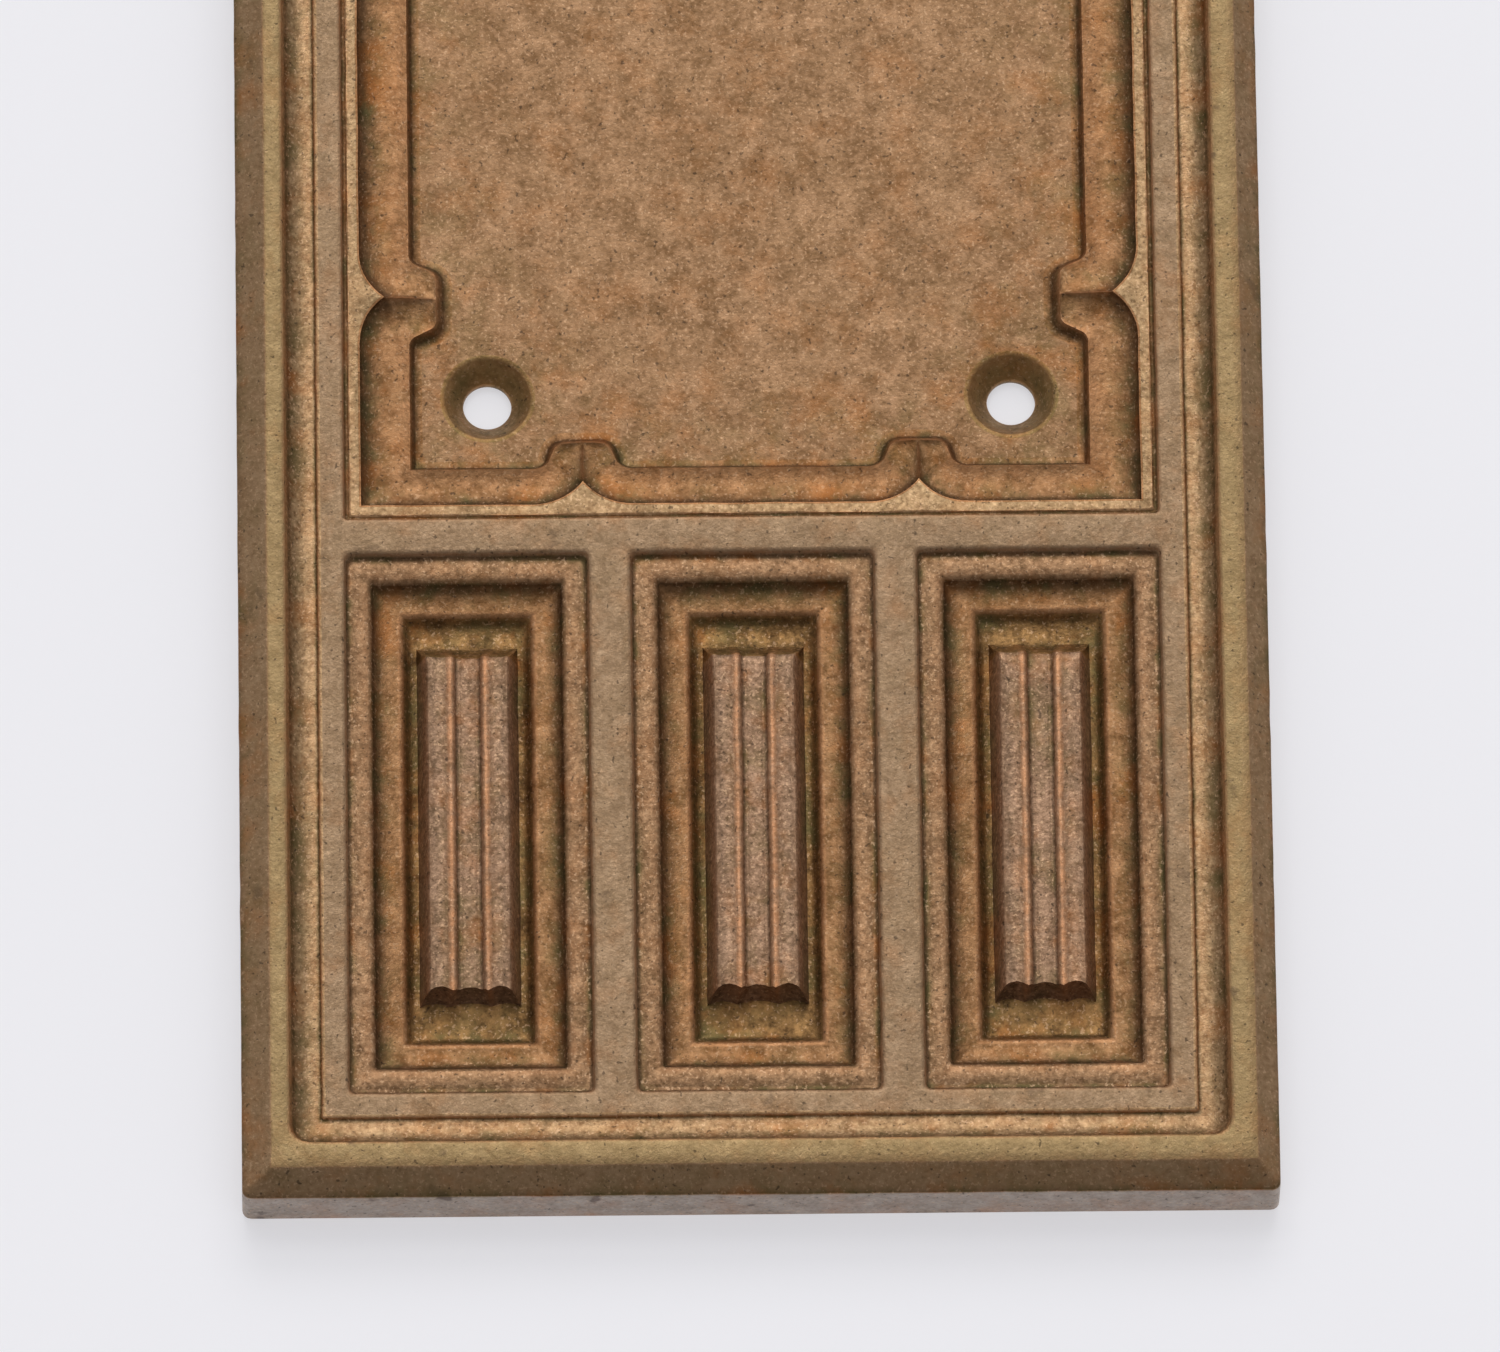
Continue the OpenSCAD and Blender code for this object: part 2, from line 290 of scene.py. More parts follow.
# ---------------------------------------------------------------- the plate's parts
def border(casting):
    """Edge, bevel, rim and hollow. Returns the outline of the back and that of the band."""
    counts = (42, 152)
    half_w, half_h = PLATE_W / 2, PLATE_H / 2

    def edge(inset):
        return rounded_outline(
            -half_w + inset, half_w - inset, -half_h + inset, half_h - inset, 0.7, counts
        )

    def bevel(part):
        return rounded_outline(
            -half_w + LEFT_BEVEL * part,
            half_w - RIGHT_BEVEL * part,
            -half_h + END_BEVEL * part,
            half_h - END_BEVEL * part,
            0.7 - 0.55 * part,
            counts,
        )

    def hollow(inset):
        side = SIDE_HOLLOW + inset
        end = END_HOLLOW + inset
        return rounded_outline(
            -half_w + side,
            half_w - side,
            -half_h + end,
            half_h - end,
            max(0.25, 1.5 - 0.5 * inset),
            counts,
        )

    # In the rows below, dirt darkens the feet of steps and the hollow's outer end with grime and
    # painted shade, and wear brightens arrises with rubbed wear and painted highlight.
    edge_rows = [
        (0.4, 0.0, 0.0, 0.5),
        (0.1, 0.12, 0.0, 0.3),
        (0.0, 0.4, 0.2, 0.2),
        (0.0, 1.6, 0.0, 0.0),
        (0.0, 3.2, 0.0, 0.0),
        (0.0, EDGE_T - 0.35, 0.0, 0.0),
        (0.02, EDGE_T - 0.08, 0.0, 0.4),
    ]
    back, arris = nested_rings(casting, edge, edge_rows, lambda row: "edge")
    bevel_rows = [(0.03, EDGE_T, 0.0, 0.6), (0.1, EDGE_T + 0.1, 0.0, 0.4)]
    bevel_rows += [(part, EDGE_T + (PLATE_T - EDGE_T) * part, 0.0, 0.1) for part in (0.35, 0.65)]
    bevel_rows += [(0.93, PLATE_T - 0.1, 0.0, 0.0), (1.0, PLATE_T - 0.02, 0.25, 0.0)]
    start, shoulder = nested_rings(casting, bevel, bevel_rows, lambda row: "bevel")
    casting.strip(arris, start, "bevel", closed=True)
    rim_rows = [
        (-1.3, PLATE_T, 0.0, 0.0),
        (-0.7, PLATE_T, 0.0, 0.0),
        (-0.3, PLATE_T - 0.02, 0.0, 0.0),
        (-0.08, PLATE_T - 0.08, 0.7, 0.0),
        (0.0, PLATE_T - 0.2, 0.6, 0.0),
    ]
    rim_rows += hollow_rows(0.03, HOLLOW_W - 0.4, PLATE_T - 0.25, HOLLOW_T, 9, 0.72, 0.4)
    rim_rows += [
        (HOLLOW_W - 0.15, HOLLOW_T, 0.0, 0.35),
        (HOLLOW_W, HOLLOW_T + 0.05, 0.0, 0.6),
        (HOLLOW_W + 0.05, BAND_T - 0.08, 0.9, 0.0),
        (HOLLOW_W + 0.15, BAND_T, 0.7, 0.0),
        (HOLLOW_W + 0.35, BAND_T, 0.0, 0.0),
    ]
    start, band = nested_rings(
        casting, hollow, rim_rows, lambda row: "border" if row < 4 else "hollow"
    )
    casting.strip(shoulder, start, "border", closed=True)
    return back, band


def small_panel(casting, centre_x, centre_z, up):
    """A sunk panel with its cove, floor and reeded bar; up is 1 or -1. Returns its outline."""
    counts = (12, 26)
    extra_end = 0.2

    def outline(inset):
        end = inset + extra_end * max(0.0, min(1.0, inset - 1.0))
        radius = max(0.12, 0.45 - 0.1 * inset)
        return rounded_outline(
            centre_x - SMALL_W / 2 + inset,
            centre_x + SMALL_W / 2 - inset,
            centre_z - SMALL_H / 2 + end,
            centre_z + SMALL_H / 2 - end,
            radius,
            counts,
            3,
        )

    # In these rows, dirt darkens the feet of steps and the cove's outer end with grime and painted
    # shade, and wear brightens arrises with rubbed wear and painted highlight.
    rows = [
        (-0.35, BAND_T, 0.0, 0.0),
        (-0.12, BAND_T - 0.03, 0.2, 0.0),
        (0.02, BAND_T - 0.16, 0.5, 0.0),
        (0.16, 4.06, 0.0, 0.6),
        (0.34, 3.92, 0.0, 0.75),
        (0.6, 3.96, 0.0, 0.2),
        (0.9, 4.03, 0.1, 0.0),
        (1.35, 4.06, 0.15, 0.0),
        (1.8, 4.02, 0.35, 0.0),
        (2.05, 3.88, 0.2, 0.2),
        (2.2, 3.62, 0.0, 0.75),
    ]
    rows += hollow_rows(2.24, 1.9, 3.5, 2.88, 6, 0.7)
    rows += [
        (4.3, 2.88, 0.3, 0.0),
        (4.5, 2.82, 0.4, 0.0),
        (4.7, 2.66, 0.2, 0.1),
        (4.9, 2.4, 0.0, 0.3),
        (5.1, 2.18, 0.0, 0.4),
        (5.4, FLOOR_T, 0.0, 0.35),
    ]
    finishes = ["band"] * 3 + ["bead"] * 7 + ["recess"] * (len(rows) - 14) + ["floor"] * 3
    edge, foot = nested_rings(casting, outline, rows, lambda row: finishes[row])
    bar_foot = reeded_bar(casting, centre_x, centre_z, up)
    casting.fill([foot, bar_foot], "floor", 1.5)
    return edge


def bar_section():
    """Half of the bar's section: distance from its middle, height, wear and dirt; wear on the
    ridges is rubbed wear and painted highlight, dirt in the grooves is grime and painted shade.
    """
    half = [
        (0.0, 3.84, 0.0, 0.15),
        (0.4, 3.84, 0.0, 0.2),
        (0.6, 3.8, 0.0, 0.3),
        (0.8, 3.76, 0.0, 0.45),
        (0.98, 3.9, 0.0, 0.3),
        (1.12, BAR_T - 0.06, 0.7, 0.0),
        (1.36, BAR_T + 0.05, 1.0, 0.0),
        (1.6, BAR_T - 0.02, 1.0, 0.0),
        (1.8, BAR_T - 0.12, 0.2, 0.2),
        (2.3, BAR_T - 0.18, 0.0, 0.1),
        (2.8, BAR_T - 0.12, 0.0, 0.0),
        (3.15, BAR_T, 0.2, 0.0),
        (BAR_HALF, BAR_T - 0.1, 0.3, 0.0),
    ]
    return half


def scallop(across):
    """How far a bar's blunt end is bitten away, between its corners and ridges."""
    across = abs(across)
    flute_edges = (-BAR_RIDGE, BAR_RIDGE) if across < BAR_RIDGE else (BAR_RIDGE, BAR_HALF)
    middle = (flute_edges[0] + flute_edges[1]) / 2
    reach = (flute_edges[1] - flute_edges[0]) / 2
    return BAR_BITE * max(0.0, 1 - ((across - middle) / reach) ** 2)


def reeded_bar(casting, centre_x, centre_z, up):
    """The fluted bar on a small panel's floor. Returns the outline of its foot."""
    half = bar_section()
    section = [(-u, h, wear_and_sheen, dirt_and_shade) for u, h, wear_and_sheen, dirt_and_shade in reversed(half[1:])] + half
    lean = 1 + BAR_LEAN / BAR_HALF
    # distance from the middle of the bar, how much of the section's height is left, bite
    ends = [(-BAR_H / 2 - 0.55, 0.0, 0.7), (-BAR_H / 2 - 0.12, 0.6, 0.9), (-BAR_H / 2, 1.0, 1.0)]
    middle = [(v, 1.0, 0.0) for v in spread(-BAR_H / 2 + 1.0, BAR_H / 2 - 0.7, 1.4)]
    slope = [(BAR_H / 2, 0.95, 0.0), (BAR_H / 2 + 0.7, 0.45, 0.0), (BAR_H / 2 + 1.5, 0.0, 0.0)]
    grid = []
    for v, part, bite in ends + middle + slope:
        row = []
        for k, (u, h, wear_and_sheen, dirt_and_shade) in enumerate(section):
            height = FLOOR_T + (h - FLOOR_T) * part
            along = v + bite * scallop(u)
            wide = u * (1 + (lean - 1) * (1 - part))
            row.append((wide, along, height, wear_and_sheen * part, dirt_and_shade * part))
        # The bar's foot is darkened by its dirt values, partly grime and partly painted shade.
        sides = []
        for side in (row[0], row[-1]):
            sign = 1 if side[0] > 0 else -1
            wall = sign * (BAR_HALF + BAR_LEAN * 0.55)
            foot = sign * (BAR_HALF + BAR_LEAN)
            if part == 0.0:
                wall = foot
            low = FLOOR_T + (side[2] - FLOOR_T) * 0.45
            sides.append([(foot, side[1], FLOOR_T, 0.0, 0.35), (wall, side[1], low, 0.0, 0.1)])
        row = sides[0] + row + sides[1][::-1]
        grid.append(
            [casting.point(centre_x + u, centre_z + up * v2, h, w, d) for u, v2, h, w, d in row]
        )
    for k, (row, following) in enumerate(zip(grid, grid[1:])):
        casting.strip(row, following, "floor" if k >= len(grid) - len(slope) else "bar")
    left = [row[0] for row in grid]
    right = [row[-1] for row in grid]
    return grid[0] + right[1:-1] + grid[-1][::-1] + left[-2:0:-1]


def cove_rows():
    """Across the cusped cove: part of its width, distance past it, height, wear and dirt; dirt is
    grime and painted shade, darkest by the outer wall and at the lip's foot, and wear is rubbed
    wear and painted highlight.
    """
    rows = [(0, -0.16, BEAD_T, 0.0, 0), (0, 0, BEAD_T - 0.05, 0.5, 0), (0, 0, COVE_TOP_T, 0, 0.5)]
    low_at = 0.65
    for i in range(1, 11):
        part = i / 10
        dirt_and_shade = max(0.0, 0.85 - 1.25 * part)
        rows.append((part, 0, cove_height(part, low_at), 0.4 * part * part, dirt_and_shade))
    rows[-1] = (1, 0, LIP_T, 0.45, 0)
    rows += [
        (1, LIP_FOOT * 0.35, LIP_T - 0.3, 0, 0.4),
        (1, LIP_FOOT * 0.7, FIELD_T + 0.14, 0, 0.6),
        (1, LIP_FOOT, FIELD_T, 0, 0.5),
        (1, LIP_FOOT + FOOT_STAIN, FIELD_T, 0, 0.22),
    ]
    return rows


def cove_height(part, low_at=0.65):
    if part < low_at:
        left = 1 - part / low_at
        return COVE_LOW_T + (COVE_TOP_T - COVE_LOW_T) * (1 - sqrt(1 - left * left))
    return COVE_LOW_T + (LIP_T - COVE_LOW_T) * ((part - low_at) / (1 - low_at)) ** 2


def blunt_outline(start, blunt, half):
    """The lip from the end of an arc, round the cusp's blunt corner and on to its centre line."""
    corner = Vector((blunt, -half))
    start = Vector(start)
    back = (start - corner).normalized() * BLUNT_ROUND
    ahead = Vector((0, BLUNT_ROUND))
    lip = [start.lerp(corner + back, i / 4) for i in range(5)]
    for i in range(1, 5):
        t = i / 4
        lip.append(corner + back * (1 - t) ** 2 + ahead * t * t)
    lip += [lip[-1].lerp(Vector((blunt, 0)), i / 3) for i in range(1, 4)]
    return lip


def cusp_stub(width, cusp_at, half, rows, first, lip_row):
    """Columns from the ridge on a cusp's centre line to the lip, past the end of one arc."""
    reach = CUSP_R - width
    start = (CUSP_R - reach * cos(CUSP_TURN), -CUSP_RUN + reach * sin(CUSP_TURN))
    blunt = width + CUSP_BLUNT
    lip = blunt_outline(start, blunt, half)
    last = len(lip) - 1
    stub = []
    for j in range(1, last + 1):
        part = j / last
        ridge = Vector((CUSP_IN + (blunt - CUSP_IN) * part, 0))
        ridge_t = RIDGE_TIP_T + (RIDGE_END_T - RIDGE_TIP_T) * part
        edge_t = LIP_T + (RIDGE_END_T - LIP_T) * max(0.0, part - 0.6) / 0.4
        points = []
        for row in range(first, lip_row + 1):
            t = rows[row][0]
            place = ridge.lerp(lip[j], t)
            dip = cove_height(t) - (COVE_TOP_T + (LIP_T - COVE_TOP_T) * t)
            height = ridge_t + (edge_t - ridge_t) * t + dip * (1 - part) ** 0.6
            # Wear on the ridge and lip is rubbed wear and painted highlight; dirt on the stub and
            # at the lip's foot is grime and painted shade.
            worn_and_sheen = 0.5 if row in (first, lip_row) else 0.0
            points.append((place.x, cusp_at + place.y, height, worn_and_sheen, 0.25 * (1 - part)))
        before, after = lip[j - 1], lip[min(j + 1, last)]
        along = after - before if j < last else Vector((0, 1))
        out = Vector((along.y, -along.x)).normalized()
        if j == last:
            out = Vector((1, 0))
        push = LIP_FOOT + (BLUNT_FOOT - LIP_FOOT) * min(1.0, part * 1.4)
        for far, height, dirt_and_shade in (
            (push * 0.35, edge_t - 0.3, 0.4),
            (push * 0.7, FIELD_T + 0.14, 0.7),
            (push, FIELD_T, 0.6),
            (push + FOOT_STAIN, FIELD_T, 0.2),
        ):
            place = lip[j] + out * far
            points.append((place.x, cusp_at + min(0.0, place.y), height, 0.0, dirt_and_shade))
        stub.append(points)
    return stub


def cove_path(width, cusp_at, half, end_at, end_width):
    """Columns along a quarter of the cove: (inset, along, height, wear, dirt) at each row, wear
    being rubbed wear and painted highlight and dirt being grime and painted shade.
    The outline runs along the second axis, and the last column lies on the corner's mitre."""
    rows = cove_rows()
    insets = [width * part + past for part, past, *_ in rows]
    other = [end_width * part + past for part, past, *_ in rows]
    looks = [row[2:] for row in rows]
    first = 2  # the row where the cove itself starts
    lip_row = len(rows) - 5

    def column(places):
        return [(a, b, *look) for (a, b), look in zip(places, looks)]

    def upper(points):
        return [(a, 2 * cusp_at - b, *look) for a, b, *look in points]

    centre = cusp_at - CUSP_RUN
    path = [column([(a, b) for a in insets]) for b in spread(0, centre, 2.0)]
    arc = []
    arc_steps = 9
    for i in range(1, arc_steps + 1):
        places = []
        for a in insets:
            reach = CUSP_R - a
            turn = asin(CUSP_RUN / reach) if reach > CUSP_R else CUSP_TURN
            angle = turn * i / arc_steps
            places.append((CUSP_R - reach * cos(angle), centre + reach * sin(angle)))
        arc.append(column(places))
    stub = cusp_stub(width, cusp_at, half, rows, first, lip_row)
    path += arc + stub
    path += [upper(points) for points in reversed(stub)]
    path += [upper(points) for points in reversed(arc)]
    after = cusp_at + CUSP_RUN
    for b in spread(after, end_at, 2.0):
        part = (b - after) / (end_at - after)
        places = [(a, after + (end_at - o - after) * part) for a, o in zip(insets, other)]
        path.append(column(places))
    return path


def central_panel(casting, hole_edges):
    """The sunk cusped panel. Returns the outline of its opening in the band."""
    counts = (34, 96)

    def window(inset):
        return rounded_outline(
            -WINDOW_X + inset,
            WINDOW_X - inset,
            -WINDOW_Z + inset,
            WINDOW_Z - inset,
            max(0.1, 0.35 - 0.3 * inset),
            counts,
            3,
        )

    # In these rows, dirt darkens the groove round the window with grime and painted shade, and wear
    # brightens arrises with rubbed wear and painted highlight.
    rows = [
        (-0.3, BAND_T, 0.0, 0.0),
        (-0.1, BAND_T - 0.02, 0.3, 0.0),
        (0.0, BAND_T - 0.1, 0.9, 0.0),
        (0.1, 4.05, 0.0, 0.45),
        (0.25, 3.96, 0.0, 0.75),
        (0.4, 3.98, 0.0, 0.45),
        (0.5, BEAD_T, 0.7, 0.0),
        (0.62, BEAD_T, 0.2, 0.0),
    ]
    finishes = ["band"] * 3 + ["recess"] * 2 + ["hollow"] * 2
    opening, bead = nested_rings(casting, window, rows, lambda row: finishes[row])

    side = cove_path(SIDE_COVE, SIDE_CUSP_Z, SIDE_BLUNT_HALF, COVE_Z, END_COVE)
    end = cove_path(END_COVE, END_CUSP_X, END_BLUNT_HALF, COVE_X, SIDE_COVE)
    quarter = [[(COVE_X - a, b, *look) for a, b, *look in points] for points in side]
    quarter += [[(b, COVE_Z - a, *look) for a, b, *look in points] for points in reversed(end)]
    outline, foot = [], []
    for sign_x, sign_z in ((1, 1), (-1, 1), (-1, -1), (1, -1)):
        columns = [
            [casting.point(sign_x * x, sign_z * z, *look) for x, z, *look in points]
            for points in quarter
        ]
        if sign_x * sign_z < 0:
            columns.reverse()
        for column, following in zip(columns, columns[1:]):
            rows_shared = min(len(column), len(following))
            casting.strip(column[-rows_shared:], following[-rows_shared:], "recess")
        full = max(len(column) for column in columns)
        outline += [column[0] for column in columns if len(column) == full]
        foot += [column[-1] for column in columns]
    casting.fill([bead, outline], "hollow")
    casting.fill([foot] + hole_edges, "panel", 2.0, 0.2)
    return opening


def screw_hole(casting, x, z):
    """A countersunk hole. Returns its outlines at the field and at the back."""
    steps = 48
    # Dirt on the hole's wall is grime and painted shade; wear on its arrises is rubbed wear and
    # painted highlight.
    profile = [
        (SINK_R + 0.4, FIELD_T, 0.0, 0.2),
        (SINK_R + 0.12, FIELD_T - 0.02, 0.3, 0.2),
        (SINK_R, FIELD_T - 0.12, 0.4, 0.0),
        (HOLE_R + 0.75, FIELD_T - SINK_DEPTH + 0.75, 0.0, 0.1),
        (HOLE_R + 0.08, FIELD_T - SINK_DEPTH + 0.06, 0.2, 0.2),
        (HOLE_R, FIELD_T - SINK_DEPTH - 0.06, 0.5, 0.3),
        (HOLE_R, 0.15, 0.0, 0.5),
        (HOLE_R + 0.1, 0.0, 0.0, 0.5),
    ]
    rings = []
    for radius, h, wear_and_sheen, dirt_and_shade in profile:
        turns = [2 * pi * i / steps for i in range(steps)]
        rings.append(
            [casting.point(x + radius * cos(t), z + radius * sin(t), h, wear_and_sheen, dirt_and_shade) for t in turns]
        )
    for ring, following in zip(rings, rings[1:]):
        casting.strip(ring, following, "sink", closed=True)
    return rings[0], rings[-1]


def weathered(x, z, h):
    """Moves a point of the front by the small unevenness of a sand casting."""
    if h < 0.05:
        return x, z, h
    broad = noise.noise(Vector((x / 6.0, z / 6.0, 3.1)))
    fine = noise.noise(Vector((x / 1.7, z / 1.7, 7.7)))
    amount = min(1.0, h / 2.0)
    lift = (0.035 * broad + 0.03 * fine) * amount
    side_x = 0.05 * noise.noise(Vector((x / 2.3, z / 2.3, 11.0))) * amount
    side_z = 0.05 * noise.noise(Vector((x / 2.3, z / 2.3, 17.0))) * amount
    return x + side_x, z + side_z, h + lift


def make_plate(materials):
    casting = Casting()
    holes = [screw_hole(casting, sx * HOLE_X, sz * HOLE_Z) for sx in (-1, 1) for sz in (-1, 1)]
    back, band = border(casting)
    openings = [central_panel(casting, [front for front, _ in holes])]
    for end in (-1, 1):
        for i in (-1, 0, 1):
            openings.append(small_panel(casting, i * SMALL_STEP_X, end * SMALL_Z, -end))
    casting.fill([band] + openings, "band", 1.6)
    casting.fill([back] + [rear for _, rear in holes], "edge", 6.0)
    return casting_object("cast_plate", casting, materials)


def casting_object(name, casting, materials):
    places = [weathered(*p) for p in casting.points]
    mesh = bpy.data.meshes.new(name)
    mesh.from_pydata([(x * MM, -h * MM, z * MM) for x, z, h in places], [], casting.faces)
    # These attributes become coppery arrises (rubbed wear and painted highlight) and dark corners
    # (grime and painted shade) in the bronze materials.
    for label, values in (("wear_and_sheen", casting.wear_and_sheen), ("dirt_and_shade", casting.dirt_and_shade)):
        layer = mesh.attributes.new(label, "FLOAT", "POINT")
        layer.data.foreach_set("value", values)
    for finish in FINISHES:
        mesh.materials.append(materials[finish])
    mesh.polygons.foreach_set("material_index", casting.finishes)
    shape = bmesh.new()
    shape.from_mesh(mesh)
    bmesh.ops.recalc_face_normals(shape, faces=shape.faces)
    shape.to_mesh(mesh)
    shape.free()
    mesh.validate()
    mesh.polygons.foreach_set("use_smooth", [True] * len(mesh.polygons))
    mesh.set_sharp_from_angle(angle=radians(50))
    piece = bpy.data.objects.new(name, mesh)
    bpy.context.collection.objects.link(piece)
    return piece


# ---------------------------------------------------------------- materials
class Nodes:
    """Short calls for building one material's node tree."""

    def __init__(self, name):
        self.material = bpy.data.materials.new(name)
        self.material.use_nodes = True
        self.tree = self.material.node_tree
        self.shader = self.tree.nodes["Principled BSDF"]

    def add(self, kind, **settings):
        node = self.tree.nodes.new(kind)
        for key, value in settings.items():
            setattr(node, key, value)
        return node

    def link(self, source, target):
        self.tree.links.new(source, target)

    def coordinates(self):
        """Object coordinates in millimetres."""
        source = self.add("ShaderNodeTexCoord").outputs["Object"]
        scaled = self.add("ShaderNodeVectorMath", operation="SCALE")
        self.link(source, scaled.inputs[0])
        scaled.inputs["Scale"].default_value = 1 / MM
        return scaled.outputs[0]

    def noise(self, place, size, detail=4.0, roughness=0.6):
        """Noise whose features are about size millimetres across."""
        node = self.add("ShaderNodeTexNoise")
        self.link(place, node.inputs["Vector"])
        node.inputs["Scale"].default_value = 1 / size
        node.inputs["Detail"].default_value = detail
        node.inputs["Roughness"].default_value = roughness
        return node.outputs["Fac"]

    def step(self, value, low, high, bottom=0.0, top=1.0):
        """The value stretched so that low to high becomes bottom to top."""
        node = self.add("ShaderNodeMapRange")
        self.link(value, node.inputs["Value"])
        settings = {"From Min": low, "From Max": high, "To Min": bottom, "To Max": top}
        for key, number in settings.items():
            node.inputs[key].default_value = number
        return node.outputs["Result"]

    def mix(self, amount, first, second, strength=1.0):
        """A mix of two colours; each is a socket or a colour."""
        node = self.add("ShaderNodeMix", data_type="RGBA")
        if strength != 1.0:
            amount = self.times(amount, strength)
        self.link(amount, node.inputs["Factor"])
        for socket, colour in ((node.inputs[6], first), (node.inputs[7], second)):
            if isinstance(colour, tuple):
                socket.default_value = (*colour, 1.0)
            else:
                self.link(colour, socket)
        return node.outputs[2]

    def join(self, operation, first, second):
        """Arithmetic on a socket and a socket or number, kept between 0 and 1."""
        node = self.add("ShaderNodeMath", operation=operation, use_clamp=True)
        self.link(first, node.inputs[0])
        if isinstance(second, float):
            node.inputs[1].default_value = second
        else:
            self.link(second, node.inputs[1])
        return node.outputs[0]

    def times(self, first, second):
        return self.join("MULTIPLY", first, second)

    def plus(self, first, second):
        return self.join("ADD", first, second)

    def attribute(self, name):
        return self.add("ShaderNodeAttribute", attribute_name=name).outputs["Fac"]


def srgb(red, green, blue):
    """A linear colour from the usual 0 to 255 values."""
    return tuple(
        c / 12.92 if c <= 0.04045 else ((c + 0.055) / 1.055) ** 2.4
        for c in (red / 255, green / 255, blue / 255)
    )


def bronze(
    name,
    dark,
    mid,
    light,
    mottle=0.5,
    copper=0.6,
    green=0.25,
    grime_and_shade=0.8,
    speckle=0.45,
    marks=0.0,
):
    """Patinated cast bronze: three tones, coppery arrises that are partly rubbed wear and partly
    painted highlight, corners darkened partly by grime and partly by painted shade, and a sandy
    skin.
    mottle to marks say how strong each part of the patina, painted highlight and painted shade is,
    from 0 to 1."""
    n = Nodes(name)
    place = n.coordinates()
    broad = n.noise(place, 9.0, 3.0)
    cloudy = n.noise(place, 1.6, 5.0, 0.7)
    sandy = n.noise(place, 0.42, 1.5, 0.6)
    dirt_and_shade = n.attribute("dirt_and_shade")
    colour = n.mix(n.step(cloudy, 0.36, 0.64), dark, light)
    colour = n.mix(n.step(broad, 0.25, 0.75, 1.1 - mottle, 0.8 - mottle), colour, mid)
    colour = n.mix(n.step(sandy, 0.5, 0.74), colour, light, speckle)
    colour = n.mix(n.step(sandy, 0.44, 0.28), colour, dark, speckle)
    # orange and greenish films in patches, thickest beside steps
    warm = n.step(n.noise(place, 4.0, 4.0, 0.65), 0.5, 0.7)
    warm = n.plus(n.times(warm, n.plus(dirt_and_shade, 0.35 * copper)), n.times(dirt_and_shade, 0.15))
    colour = n.mix(warm, colour, srgb(168, 104, 50))
    film = n.step(n.noise(place, 3.0, 5.0, 0.65), 0.46, 0.66)
    film = n.times(film, n.plus(n.times(dirt_and_shade, 1.5), green))
    colour = n.mix(film, colour, srgb(110, 96, 58))
    # Coppery colour where wear is high, on arrises and the inner ends of hollows: partly rubbed
    # wear, partly painted highlight.
    worn_and_sheen = n.times(n.attribute("wear_and_sheen"), n.step(n.noise(place, 1.2, 3.0), 0.35, 0.6, 0.3, 1.0))
    colour = n.mix(worn_and_sheen, colour, srgb(214, 152, 106), copper)
    # Near-black brown where dirt is high, in steps, grooves, hollows and hole walls: partly real
    # grime, partly painted shade.
    grime_shade_mask = n.times(n.step(dirt_and_shade, 0.22, 1.0), n.step(n.noise(place, 1.0, 3.0), 0.3, 0.6, 0.6, 1.0))
    colour = n.mix(grime_shade_mask, colour, srgb(44, 32, 20), grime_and_shade)
    # bright grains and dark pits
    grains = n.step(n.noise(place, 0.27, 1.0, 0.5), 0.6, 0.7)
    colour = n.mix(grains, colour, srgb(226, 186, 148), 0.5 * speckle)
    pits = n.step(n.noise(place, 0.36, 1.0, 0.4), 0.68, 0.75)
    colour = n.mix(pits, colour, srgb(48, 36, 28), 0.6)
    if marks:
        mark = n.step(n.noise(place, 3.0, 3.0, 0.55), 0.66, 0.72)
        colour = n.mix(mark, colour, srgb(76, 56, 48), marks)
    n.link(colour, n.shader.inputs["Base Color"])
    n.link(n.step(cloudy, 0.3, 0.7, 0.56, 0.44), n.shader.inputs["Roughness"])
    n.shader.inputs["Metallic"].default_value = BRONZE_METALLIC
    bump = n.add("ShaderNodeBump")
    bump.inputs["Strength"].default_value = GRAIN_STRENGTH
    bump.inputs["Distance"].default_value = GRAIN_DEPTH * MM
    n.link(n.noise(place, 0.35, 3.0, 0.65), bump.inputs["Height"])
    n.link(bump.outputs["Normal"], n.shader.inputs["Normal"])
    return n.material


def brass():
    """Dull yellow brass with a fine mottle in its roughness and darker handling film."""
    n = Nodes("screw_brass")
    place = n.coordinates()
    film = n.step(n.noise(place, 2.5, 4.0), 0.35, 0.7)
    colour = n.mix(film, srgb(132, 108, 66), srgb(186, 158, 104))
    n.link(colour, n.shader.inputs["Base Color"])
    n.link(n.step(n.noise(place, 0.5, 3.0), 0.3, 0.7, 0.28, 0.42), n.shader.inputs["Roughness"])
    n.shader.inputs["Metallic"].default_value = 0.9
    return n.material


